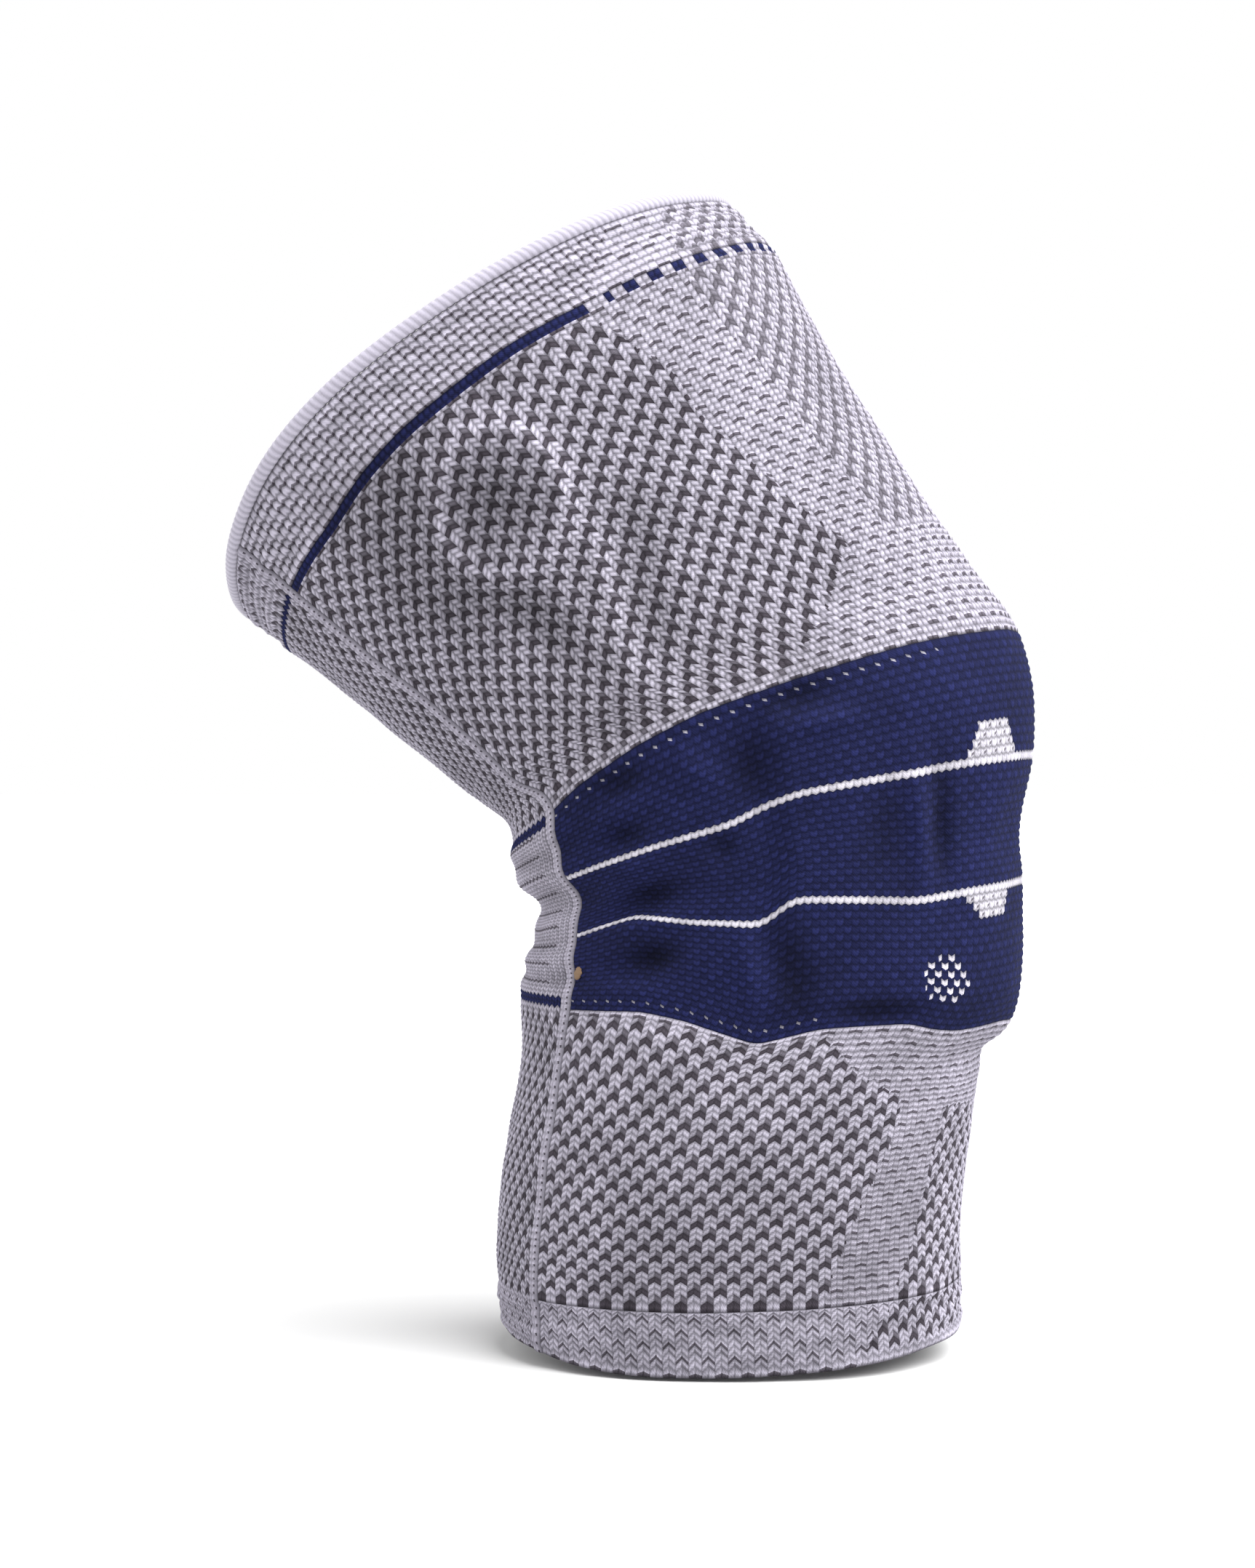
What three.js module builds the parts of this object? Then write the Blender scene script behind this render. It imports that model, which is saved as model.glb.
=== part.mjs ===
// A knitted knee sleeve, kept in the bent form that a leg gives it.
// Millimetres, +Z up. +X points forward to the kneecap, -Y to the near side of the leg.
// The origin lies in the middle of the leg, at the course of the knit where the knee bends.
import * as THREE from "three";

// How the leg is bent: the thigh leans back from the calf, in degrees.
const BEND = 39;

// Height of each knitted zone along the middle of the leg.
const HEM_HEIGHT = 10.6;
const CALF_HEIGHT = 67.5;
const BAND_HEIGHT = 71.7;
const THIGH_HEIGHT = 90.8;
const WELT_HEIGHT = 13.5;

// Front to back depth and side to side width of the leg.
const CALF_DEPTH = 116.5;
const KNEE_DEPTH = 124;
const THIGH_DEPTH = 160;
const CALF_WIDTH = 105;
const KNEE_WIDTH = 109;
const THIGH_WIDTH = 142;

// Thickness of the knit, of the round edge binding and of the two seams.
const WALL = 2;
const BINDING_TALL = 3.7;
const BINDING_THICK = 3.4;
const SEAM_WIDTH = 3.6;
const SEAM_RISE = 0.9;

// Clear space left between two pieces that touch on the real thing.
const GAP = 0.3;

// The seams' angle from the front, in degrees round the leg.
const SEAM_TURN_CALF = 143;
const SEAM_TURN_KNEE = 141;
const SEAM_TURN_THIGH = 147;

// The pad behind the knee zone lifts the knit this far, out to this angle from the front.
// Its edges slope over some degrees round the leg, and over some levels up it, level counting the zones.
const PAD_LIFT = 3;
const PAD_TURN = 91;
const PAD_EDGE_TURN = 4;
const PAD_FRONT_TURN = 60;
const PAD_FOOT = [1.98, 2.12];
const PAD_HEAD = [2.86, 3.08];

// Roundness of every course: 2 is an ellipse, more is squarer.
const SQUARENESS = 2.25;
// How the courses bow up or down at the leg's sides.
const BOW_POWER = 1.5;
const BOW_TO_BACK = 0.36;

// How finely the solids are cut into facets.
const FRONT_STEPS = 44;
const BACK_STEPS = 12;
const SEAM_STEPS = 2;
const BINDING_STEPS = 60;
const BINDING_SIDES = 8;

const DEGREE = Math.PI / 180;
const { abs, cos, exp, floor, max, min, PI, sin } = Math;

// The knitted zones from the calf's edge up to the thigh's, and how many facet rows each one has.
const ZONES = [
  { zone: "hem", height: HEM_HEIGHT, steps: 2 },
  { zone: "calf", height: CALF_HEIGHT, steps: 9 },
  { zone: "band", height: BAND_HEIGHT, steps: 14 },
  { zone: "thigh", height: THIGH_HEIGHT, steps: 10 },
  { zone: "welt", height: WELT_HEIGHT, steps: 2 },
];

// Main courses of the knit, from the calf's edge to the rim.
// up: how far up its zone. lean: slope of the leg's middle line from the course below.
// tilt: slope of the course itself. Both are shares of BEND.
// depth, width, bow: shares of the depth and width of the limb named in the row.
const COURSES = [
  { zone: "hem", up: 0, lean: 0.064, tilt: -0.012, limb: "calf", depth: 0.998, width: 0.99, bow: -0.058 },
  { zone: "hem", up: 1, lean: 0.064, tilt: 0.016, limb: "calf", depth: 1.003, width: 1, bow: -0.014 },
  { zone: "calf", up: 0.256, lean: -0.024, tilt: 0.023, limb: "calf", depth: 1.002, width: 1.01, bow: -0.017 },
  { zone: "calf", up: 0.494, lean: -0.153, tilt: 0.005, limb: "calf", depth: 0.998, width: 1.019, bow: -0.017 },
  { zone: "calf", up: 0.691, lean: -0.246, tilt: -0.009, limb: "calf", depth: 0.998, width: 1.027, bow: -0.013 },
  { zone: "calf", up: 0.863, lean: -0.272, tilt: -0.054, limb: "calf", depth: 1.001, width: 1.029, bow: -0.01 },
  { zone: "calf", up: 1, lean: -0.431, tilt: -0.064, limb: "knee", depth: 0.99, width: 0.99, bow: -0.008 },
  { zone: "band", up: 0.361, lean: -0.174, tilt: 0.187, limb: "knee", depth: 1.002, width: 1, bow: 0.008 },
  { zone: "band", up: 0.508, lean: -0.104, tilt: 0.271, limb: "knee", depth: 0.992, width: 1, bow: 0.012 },
  { zone: "band", up: 0.689, lean: 0.146, tilt: 0.35, limb: "knee", depth: 1.074, width: 1.01, bow: 0.019 },
  { zone: "band", up: 0.866, lean: 0.108, tilt: 0.471, limb: "knee", depth: 1.11, width: 1.02, bow: 0.04 },
  { zone: "band", up: 1, lean: 0.298, tilt: 0.55, limb: "knee", depth: 1.11, width: 1.028, bow: 0.069 },
  { zone: "thigh", up: 0.147, lean: 0.966, tilt: 0.685, limb: "thigh", depth: 0.85, width: 0.803, bow: 0.059 },
  { zone: "thigh", up: 0.349, lean: 1.07, tilt: 0.772, limb: "thigh", depth: 0.8725, width: 0.845, bow: 0.075 },
  { zone: "thigh", up: 0.64, lean: 1.052, tilt: 0.871, limb: "thigh", depth: 0.914, width: 0.901, bow: 0.084 },
  { zone: "thigh", up: 0.85, lean: 0.998, tilt: 0.933, limb: "thigh", depth: 0.956, width: 0.944, bow: 0.0875 },
  { zone: "thigh", up: 1, lean: 0.983, tilt: 0.987, limb: "thigh", depth: 0.9875, width: 0.972, bow: 0.096 },
  { zone: "welt", up: 1, lean: 1.211, tilt: 1.015, limb: "thigh", depth: 0.999, width: 1, bow: 0.12 },
];
// The course whose middle is the origin.
const ORIGIN_COURSE = 8;

// Raised and pressed places of the knit, the same on both sides of the leg.
// up and tall count zones from the calf's edge, turn and wide are degrees from the front.
// lift is a share of PAD_LIFT, and slant turns the place with its height.
const RELIEFS = [
  { name: "fold under the knee zone", up: 1.9, tall: 0.06, turn: 0, wide: 40, slant: 0, lift: -0.7 },
  { name: "oval ridge on the thigh", up: 3.71, tall: 0.17, turn: 105, wide: 9, slant: -20, lift: 0.75 },
  { name: "dish inside the oval ridge", up: 3.69, tall: 0.09, turn: 105, wide: 4.5, slant: -20, lift: -0.65 },
  { name: "long ridge below the oval", up: 3.25, tall: 0.3, turn: 107, wide: 3.5, slant: 0, lift: 0.4 },
  { name: "pull at the band's upper seam end", up: 2.75, tall: 0.1, turn: 127, wide: 9, slant: -60, lift: -0.5 },
  { name: "pull at the band's middle", up: 2.45, tall: 0.05, turn: 122, wide: 12, slant: -60, lift: -0.6 },
  { name: "pull at the band's lower seam end", up: 2.2, tall: 0.08, turn: 127, wide: 9, slant: 60, lift: -0.5 },
];

const LIMBS = {
  calf: { depth: CALF_DEPTH, width: CALF_WIDTH, seam: SEAM_TURN_CALF },
  knee: { depth: KNEE_DEPTH, width: KNEE_WIDTH, seam: SEAM_TURN_KNEE },
  thigh: { depth: THIGH_DEPTH, width: THIGH_WIDTH, seam: SEAM_TURN_THIGH },
};

// Height up the leg's middle line where each zone starts, and at any level.
const FEET = [0];
for (const { height } of ZONES) FEET.push(FEET[FEET.length - 1] + height);

function heightAt(level) {
  const zone = max(0, min(ZONES.length - 1, floor(level)));
  return FEET[zone] + (level - zone) * ZONES[zone].height;
}

// The courses in millimetres, stacked along the middle line, with level counting the zones.
function stackCourses() {
  const stack = [];
  let x = 0;
  let z = 0;
  let below = null;
  for (const row of COURSES) {
    const index = ZONES.findIndex((zone) => zone.zone === row.zone);
    const level = index + row.up;
    const height = ZONES[index].height;
    const step = below === null ? 0 : (level - below) * height;
    const lean = row.lean * BEND * DEGREE;
    const limb = LIMBS[row.limb];
    x -= step * sin(lean);
    z += step * cos(lean);
    stack.push({
      level,
      x,
      z,
      tilt: row.tilt * BEND * DEGREE,
      depth: (row.depth * limb.depth) / 2,
      width: (row.width * limb.width) / 2,
      bow: row.bow * limb.depth,
      seam: limb.seam * DEGREE,
    });
    below = level;
  }
  const origin = { ...stack[ORIGIN_COURSE] };
  for (const course of stack) {
    course.x -= origin.x;
    course.z -= origin.z;
  }
  return stack;
}

const STACK = stackCourses();
const HEIGHTS = STACK.map((course) => heightAt(course.level));

// Slope of one column of the stack at each course, for a smooth line through all of them.
function slopes(column) {
  const last = STACK.length - 1;
  const pitch = (i) => (STACK[i + 1][column] - STACK[i][column]) / (HEIGHTS[i + 1] - HEIGHTS[i]);
  return STACK.map((course, i) => {
    if (i === 0) return pitch(0);
    if (i === last) return pitch(last - 1);
    const before = HEIGHTS[i] - HEIGHTS[i - 1];
    const after = HEIGHTS[i + 1] - HEIGHTS[i];
    return (pitch(i - 1) * after + pitch(i) * before) / (before + after);
  });
}

const COLUMNS = ["x", "z", "tilt", "depth", "width", "bow", "seam"];
const SLOPES = Object.fromEntries(COLUMNS.map((column) => [column, slopes(column)]));

// The course at any level, read off the smooth lines through the stack.
function courseAt(level) {
  const height = heightAt(level);
  let i = 0;
  while (i < STACK.length - 2 && height > HEIGHTS[i + 1]) i += 1;
  const span = HEIGHTS[i + 1] - HEIGHTS[i];
  const t = (height - HEIGHTS[i]) / span;
  const start = 2 * t ** 3 - 3 * t ** 2 + 1;
  const leave = t ** 3 - 2 * t ** 2 + t;
  const end = 3 * t ** 2 - 2 * t ** 3;
  const arrive = t ** 3 - t ** 2;
  const course = {};
  for (const column of COLUMNS) {
    const slope = SLOPES[column];
    const curve = span * (leave * slope[i] + arrive * slope[i + 1]);
    course[column] = start * STACK[i][column] + end * STACK[i + 1][column] + curve;
  }
  return course;
}

// A point of the knit's outer face before its relief. turn is 0 at the front, PI at the back.
function bare(turn, level) {
  const course = courseAt(level);
  const c = cos(turn);
  const s = sin(turn);
  const round = (abs(c) ** SQUARENESS + abs(s) ** SQUARENESS) ** (-1 / SQUARENESS);
  const bow = course.bow * abs(s * round) ** BOW_POWER * (1 - BOW_TO_BACK * c * round);
  const forward = course.depth * c * round;
  return new THREE.Vector3(
    course.x + forward * cos(course.tilt) - bow * sin(course.tilt),
    -course.width * s * round,
    course.z + forward * sin(course.tilt) + bow * cos(course.tilt),
  );
}

function smoothStep(from, to, value) {
  const t = max(0, min(1, (value - from) / (to - from)));
  return t * t * (3 - 2 * t);
}

// How far the relief lifts the knit off its bare face.
function relief(turn, level) {
  const degrees = abs(turn > PI ? turn - 2 * PI : turn) / DEGREE;
  const acrossPad = 1 - smoothStep(PAD_TURN - PAD_EDGE_TURN, PAD_TURN + PAD_EDGE_TURN, degrees);
  const upPad = smoothStep(...PAD_FOOT, level) * (1 - smoothStep(...PAD_HEAD, level));
  let lift = acrossPad * upPad * smoothStep(0, PAD_FRONT_TURN, degrees);
  for (const place of RELIEFS) {
    const up = (level - place.up) / place.tall;
    const across = (degrees - place.turn - place.slant * (level - place.up)) / place.wide;
    lift += place.lift * exp(-(up ** 2) - across ** 2);
  }
  return lift * PAD_LIFT;
}

// The face's own directions at a point: round the leg, up the leg, and out of the knit.
function directions(turn, level) {
  const small = 1e-3;
  const around = bare(turn + small, level).sub(bare(turn - small, level)).normalize();
  const high = bare(turn, min(level + small, ZONES.length));
  const up = high.sub(bare(turn, max(level - small, 0))).normalize();
  const out = new THREE.Vector3().crossVectors(up, around).normalize();
  if (out.x * cos(turn) - out.y * sin(turn) < 0) out.negate();
  return { around, up, out };
}

// A point of the knit, moved off its outer face by out, round the leg by shift and up by raise.
function knitPoint(turn, level, out, shift = 0, raise = 0) {
  const way = directions(turn, level);
  return bare(turn, level)
    .addScaledVector(way.out, relief(turn, level) + out)
    .addScaledVector(way.around, shift)
    .addScaledVector(way.up, raise);
}

// Turns a length in millimetres round the leg into an angle at the seam.
function turnFor(length, turn, level) {
  const small = 1e-3;
  return (length * 2 * small) / bare(turn + small, level).distanceTo(bare(turn - small, level));
}

// Facet rows of the zones from first to last, as levels.
function levelsOf(first, last) {
  const levels = [first];
  for (let zone = first; zone < last; zone += 1) {
    const { steps } = ZONES[zone];
    for (let step = 1; step <= steps; step += 1) levels.push(zone + step / steps);
  }
  return levels;
}

// One closed wall between two rows of points: outer and inner are grids of the same shape.
function wall(outer, inner) {
  const rows = outer.length;
  const across = outer[0].length;
  const points = [...outer.flat(), ...inner.flat()];
  const at = (side, row, column) => side * rows * across + row * across + column;
  const faces = [];
  const quad = (a, b, c, d) => faces.push(a, b, c, a, c, d);
  for (let row = 0; row < rows - 1; row += 1) {
    for (let column = 0; column < across - 1; column += 1) {
      const next = column + 1;
      quad(at(0, row, next), at(0, row, column), at(0, row + 1, column), at(0, row + 1, next));
      quad(at(1, row, column), at(1, row, next), at(1, row + 1, next), at(1, row + 1, column));
    }
  }
  for (let column = 0; column < across - 1; column += 1) {
    const next = column + 1;
    quad(at(0, 0, column), at(0, 0, next), at(1, 0, next), at(1, 0, column));
    const top = rows - 1;
    quad(at(0, top, column), at(1, top, column), at(1, top, next), at(0, top, next));
  }
  for (let row = 0; row < rows - 1; row += 1) {
    const last = across - 1;
    quad(at(0, row + 1, 0), at(0, row, 0), at(1, row, 0), at(1, row + 1, 0));
    quad(at(0, row + 1, last), at(1, row + 1, last), at(1, row, last), at(0, row, last));
  }
  return solid(points, faces);
}

function solid(points, faces) {
  const geometry = new THREE.BufferGeometry();
  const flat = points.flatMap((point) => [point.x, point.y, point.z]);
  geometry.setAttribute("position", new THREE.Float32BufferAttribute(flat, 3));
  geometry.setIndex(faces);
  geometry.computeVertexNormals();
  return geometry;
}

// A strip of knit between two edges, which are functions of level, with half a gap off each side.
// ridge is how far its outer face rises in the middle.
function strip(levels, edgeFrom, edgeTo, steps, ridge = 0) {
  const last = levels.length - 1;
  const grid = (face) => levels.map((level, row) => {
    const raise = row === 0 ? GAP / 2 : row === last ? -GAP / 2 : 0;
    const from = edgeFrom(level);
    const to = edgeTo(level);
    const points = [];
    for (let step = 0; step <= steps; step += 1) {
      const share = step / steps;
      const shift = step === 0 ? GAP / 2 : step === steps ? -GAP / 2 : 0;
      points.push(knitPoint(from + (to - from) * share, level, face(share), shift, raise));
    }
    return points;
  });
  return wall(grid((share) => ridge * sin(PI * share)), grid(() => -WALL));
}

// The seam's two edges on the photographed side, as angles from the front.
function seamEdge(level, side) {
  const turn = courseAt(level).seam;
  return turn + side * turnFor(SEAM_WIDTH / 2, turn, level);
}

function frontZone(zone) {
  const index = ZONES.findIndex((row) => row.zone === zone);
  const near = (level) => seamEdge(level, -1);
  return strip(levelsOf(index, index + 1), (level) => -near(level), near, FRONT_STEPS);
}

function backPanel() {
  const near = (level) => seamEdge(level, 1);
  const far = (level) => 2 * PI - near(level);
  return strip(levelsOf(0, ZONES.length), near, far, BACK_STEPS);
}

// side is 1 for the photographed side and -1 for the far one.
function seam(side) {
  const inner = (level) => seamEdge(level, -1);
  const outer = (level) => seamEdge(level, 1);
  const levels = levelsOf(0, ZONES.length);
  if (side > 0) return strip(levels, inner, outer, SEAM_STEPS, SEAM_RISE);
  return strip(levels, (level) => -outer(level), (level) => -inner(level), SEAM_STEPS, SEAM_RISE);
}

// The round binding sits on the rim, a gap above the knit's last course.
function binding() {
  const rim = ZONES.length;
  const points = [];
  for (let step = 0; step < BINDING_STEPS; step += 1) {
    const turn = (2 * PI * step) / BINDING_STEPS;
    const way = directions(turn, rim);
    const middle = knitPoint(turn, rim, -WALL / 2, 0, GAP / 2 + BINDING_TALL / 2);
    for (let side = 0; side < BINDING_SIDES; side += 1) {
      const angle = (2 * PI * side) / BINDING_SIDES;
      points.push(middle.clone()
        .addScaledVector(way.out, (cos(angle) * BINDING_THICK) / 2)
        .addScaledVector(way.up, (sin(angle) * BINDING_TALL) / 2));
    }
  }
  const faces = [];
  const at = (step, side) => (step % BINDING_STEPS) * BINDING_SIDES + (side % BINDING_SIDES);
  for (let step = 0; step < BINDING_STEPS; step += 1) {
    for (let side = 0; side < BINDING_SIDES; side += 1) {
      const [a, b] = [at(step, side), at(step, side + 1)];
      const [c, d] = [at(step + 1, side + 1), at(step + 1, side)];
      faces.push(a, b, c, a, c, d);
    }
  }
  return solid(points, faces);
}

// The knitted zones and trims, each with the colour of its yarn.
const sleeve = new THREE.Group();

function add(name, geometry, color, roughness) {
  const material = new THREE.MeshStandardMaterial({ color, roughness, metalness: 0 });
  const mesh = new THREE.Mesh(geometry, material);
  mesh.name = name;
  sleeve.add(mesh);
}

add("top_binding", binding(), "#d8d6e0", 0.9);
add("top_welt", frontZone("welt"), "#b9b6c3", 0.95);
add("thigh_knit", frontZone("thigh"), "#8f8a93", 0.95);
add("knee_band", frontZone("band"), "#252f66", 0.9);
add("calf_knit", frontZone("calf"), "#8f8a93", 0.95);
add("bottom_hem", frontZone("hem"), "#b4b1bd", 0.95);
add("back_panel", backPanel(), "#a39fa9", 0.95);
add("near_seam", seam(1), "#c9c7cf", 0.95);
add("far_seam", seam(-1), "#c9c7cf", 0.95);

export default sleeve;
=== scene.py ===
"""A knitted knee sleeve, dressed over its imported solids, laid out as a Blender add-on and run as a script.

Lengths of the sleeve are in millimetres until a mesh is finished, and every finished mesh is in metres.
A place on the sleeve is a turn round the leg, 0 at the front and PI at the back, and a level, which counts
the knitted zones up from the calf's edge: hem 0 to 1, calf 1 to 2, knee band 2 to 3, thigh 3 to 4, welt to 5.
"""
import math  # noqa: E402

import bmesh  # noqa: E402
import bpy  # noqa: E402
import numpy as np  # noqa: E402
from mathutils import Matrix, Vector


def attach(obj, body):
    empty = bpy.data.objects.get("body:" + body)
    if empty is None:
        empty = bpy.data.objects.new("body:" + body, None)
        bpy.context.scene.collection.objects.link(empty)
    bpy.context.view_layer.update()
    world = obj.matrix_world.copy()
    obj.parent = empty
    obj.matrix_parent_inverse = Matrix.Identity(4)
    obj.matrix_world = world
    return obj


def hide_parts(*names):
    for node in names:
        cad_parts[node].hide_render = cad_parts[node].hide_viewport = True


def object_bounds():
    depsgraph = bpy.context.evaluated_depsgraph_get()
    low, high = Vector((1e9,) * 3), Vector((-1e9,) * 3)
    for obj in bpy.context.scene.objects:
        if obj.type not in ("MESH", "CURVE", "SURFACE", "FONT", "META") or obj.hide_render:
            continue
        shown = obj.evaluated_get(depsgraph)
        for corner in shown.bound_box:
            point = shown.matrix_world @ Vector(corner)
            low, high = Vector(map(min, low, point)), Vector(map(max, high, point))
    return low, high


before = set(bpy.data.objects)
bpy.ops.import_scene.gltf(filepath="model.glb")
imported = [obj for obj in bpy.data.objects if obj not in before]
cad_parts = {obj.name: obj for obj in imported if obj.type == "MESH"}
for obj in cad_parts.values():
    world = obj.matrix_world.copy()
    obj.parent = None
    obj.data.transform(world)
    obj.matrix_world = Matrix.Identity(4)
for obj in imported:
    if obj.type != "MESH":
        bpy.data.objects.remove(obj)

CAD_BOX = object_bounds()

bl_info = {
    "name": "Knitted knee sleeve",
    "version": (1, 0, 0),
    "blender": (4, 5, 0),
    "location": "View3D > Sidebar > Knee sleeve",
    "description": "Builds a knitted knee sleeve stitch by stitch over its packed solids",
    "category": "Object",
}

MM = 0.001
DEGREE = math.pi / 180

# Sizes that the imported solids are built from, in millimetres and degrees.
BEND = 39
ZONE_HEIGHTS = np.array([10.6, 67.5, 71.7, 90.8, 13.5])
LIMBS = {"calf": (116.5, 105, 143), "knee": (124, 109, 141), "thigh": (160, 142, 147)}
WALL = 2.0
BINDING_TALL, BINDING_THICK = 3.7, 3.4
SEAM_WIDTH, SEAM_RISE, SEAM_RUNGS = 3.6, 0.9, 150
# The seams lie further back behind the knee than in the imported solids: degrees, level, and reach in levels.
KNEE_SEAM_SHIFT, KNEE_SEAM_LEVEL, KNEE_SEAM_REACH = 3, 2.6, 0.5
PAD_LIFT, PAD_TURN, PAD_EDGE_TURN, PAD_FRONT_TURN = 3, 91, 4, 60
PAD_FOOT, PAD_HEAD = (1.98, 2.12), (2.86, 3.08)
SQUARENESS, BOW_POWER, BOW_TO_BACK = 2.25, 1.5, 0.36
RIM = len(ZONE_HEIGHTS)

# Main courses: level, lean and tilt as shares of BEND, limb, and depth, width and bow as shares of its sizes.
COURSES = [
    (0, 0.064, -0.012, "calf", 0.998, 0.99, -0.058),
    (1, 0.064, 0.016, "calf", 1.003, 1, -0.014),
    (1.256, -0.024, 0.023, "calf", 1.002, 1.01, -0.017),
    (1.494, -0.153, 0.005, "calf", 0.998, 1.019, -0.017),
    (1.691, -0.246, -0.009, "calf", 0.998, 1.027, -0.013),
    (1.863, -0.272, -0.054, "calf", 1.001, 1.029, -0.01),
    (2, -0.431, -0.064, "knee", 0.99, 0.99, -0.008),
    (2.361, -0.174, 0.187, "knee", 1.002, 1, 0.008),
    (2.508, -0.104, 0.271, "knee", 0.992, 1, 0.012),
    (2.689, 0.146, 0.35, "knee", 1.074, 1.01, 0.019),
    (2.866, 0.108, 0.471, "knee", 1.11, 1.02, 0.04),
    (3, 0.298, 0.55, "knee", 1.11, 1.028, 0.069),
    (3.147, 0.966, 0.685, "thigh", 0.85, 0.803, 0.059),
    (3.349, 1.07, 0.772, "thigh", 0.8725, 0.845, 0.075),
    (3.64, 1.052, 0.871, "thigh", 0.914, 0.901, 0.084),
    (3.85, 0.998, 0.933, "thigh", 0.956, 0.944, 0.0875),
    (4, 0.983, 0.987, "thigh", 0.9875, 0.972, 0.096),
    (5, 1.211, 1.015, "thigh", 0.999, 1, 0.12),
]
ORIGIN_COURSE = 8

# Raised and pressed places: level, tall in levels, turn and wide in degrees, slant, lift in millimetres.
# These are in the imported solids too, and the creases after them are too fine for the solids.
PRESSED = [
    (1.9, 0.06, 0, 40, 0, -2.1),
    (3.25, 0.3, 107, 3.5, 0, 1.2),
    (2.75, 0.1, 127, 9, -60, -1.5),
    (2.45, 0.05, 122, 12, -60, -1.8),
    (2.2, 0.08, 127, 9, 60, -1.5),
]
CREASES = [
    (2.91, 0.035, 122.5, 5.5, 20, -2.2),
    (2.82, 0.03, 124, 6, 0, 1.2),
    (2.73, 0.035, 124, 5, 0, -1.8),
    (2.62, 0.03, 124, 6, 0, 1.0),
    (2.5, 0.04, 122, 6, -30, -2.4),
    (2.385, 0.03, 124, 7, 0, 1.5),
    (2.25, 0.055, 120, 6, 0, -2.9),
    (2.12, 0.03, 124, 8, 0, 1.0),
    (2.61, 0.045, 103.5, 3, 0, -1.5),
    (2.96, 0.03, 84, 6, 0, -1.9),
    (2.89, 0.025, 80, 6, 60, 1.3),
    (2.84, 0.08, 96, 4, 0, -1.7),
    (2.88, 0.07, 107, 4, 40, 1.5),
    (2.17, 0.12, 88, 4, 16, -2.3),
    (2.2, 0.13, 97, 3, 16, 1.6),
    (2.6, 0.15, 69, 5, 0, -1.4),
    (2.57, 0.15, 61.5, 2.2, 8, 1.5),
    (2.56, 0.15, 55.5, 2.6, 8, -2.1),
    (2.55, 0.15, 42, 7, 0, 1.0),
    (2.53, 0.13, 5, 6, 0, -1.0),
    (2.07, 0.03, 68, 10, 0, -2.4),
    (1.95, 0.04, 116, 12, 0, 0.8),
    (3.08, 0.05, 60, 14, 40, 0.9),
    (3.36, 0.22, 100.5, 2.6, -35, 1.3),
    (3.36, 0.2, 92, 4, -35, -1.0),
    (3.4, 0.16, 114, 5, 0, -1.4),
]
# Oval ring that the worn leg presses into the thigh, in millimetres but for its middle and its shares.
RING = {"level": 3.72, "turn": 103.5, "slant": 0.2, "tall": 1.05, "crest": 16, "crest_wide": 3.1, "lift": 3.0,
        "dish": 3.6, "dish_share": 0.62}
# Slight unevenness of the worn cloth: height in millimetres, and waves up a zone and round the leg.
UNEVEN = ((0.22, 9, 7), (0.16, 15, -11), (0.12, 23, 17))
# Ribs into which the back panel gathers in the hollow of the knee: height in millimetres, pitch in levels,
# and the levels and turns over which they grow and fade.
HOLLOW_RIB, HOLLOW_PITCH = 0.55, 0.2
HOLLOW_LEVELS, HOLLOW_TURNS = (2.0, 2.12, 2.85, 3), (130, 143)
MM_PER_DEGREE = 1.33
# Shade of folds: the depths that count, the ring's share, and what a millimetre down or up does to the light.
SHADE_LIMITS, SHADE_RING, SHADE_DOWN, SHADE_UP = (-3, 2), 0.5, 0.32, 0.1
# Painted shade, darker on the back of the thigh and the calf's sides: share, and turns and levels where it
# grows and fades.
PAINTED_SIDE_SHADE = [
    (0.3, (95, 118, 124, 136), (3.3, 3.6, 4, 4.4)),
    (0.22, (30, 48, 116, 128), (-2, -1, 1.3, 1.95)),
]

# How the worn knit's courses wander: each guide course has its level, then turns with the level found there.
GUIDES = [
    (0, [(0, 0), (180, 0)]),
    (1, [(0, 1), (180, 1)]),
    (1.8, [(0, 1.8), (180, 1.8)]),
    (2, [(0, 2.02), (26, 2.025), (46, 2.003), (53, 2.011), (60, 2.031), (72, 2.02), (80, 2.01), (93, 1.945),
         (110, 2.017), (120, 2.039), (141, 2.017), (180, 2.0)]),
    (2.361, [(0, 2.361), (48, 2.361), (62, 2.353), (89, 2.405), (95, 2.333), (111, 2.371), (126, 2.43),
             (141, 2.373), (180, 2.361)]),
    (2.689, [(0, 2.686), (18, 2.686), (49, 2.702), (63, 2.705), (87, 2.72), (94, 2.703), (101, 2.673),
             (117, 2.66), (140, 2.627), (180, 2.6)]),
    (3, [(0, 2.99), (35, 2.996), (44, 3), (59, 3.005), (103, 3.0015), (110, 2.992), (117, 2.983),
         (124, 2.9665), (132, 2.953), (146, 2.905), (180, 2.88)]),
    (4, [(0, 4.1), (44, 4.1), (54, 4.11), (69.5, 4.1), (76.5, 4.13), (83.5, 4.15), (91, 4.13), (99, 4.1),
         (107, 4.08), (117, 4), (128, 3.98), (180, 4)]),
    (5, [(0, 5), (180, 5)]),
]

# Degrees between the guides' columns, and columns over which their corners are eased.
GUIDE_STEP, EASE_REACH, EASE_WIDE = 0.5, 12, 5.0

# Stitches of each zone from the hem up: rows, wales across the front, and facets of a stitch across and up.
ZONE_ROWS = (10, 47, 48, 66, 8)
ZONE_WALES = (180, 180, 160, 216, 160)
ZONE_FACETS = ((4, 2), (4, 2), (4, 3), (3, 2), (4, 3))
BACK_WALES, BACK_FACETS = 60, (3, 2)
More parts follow.
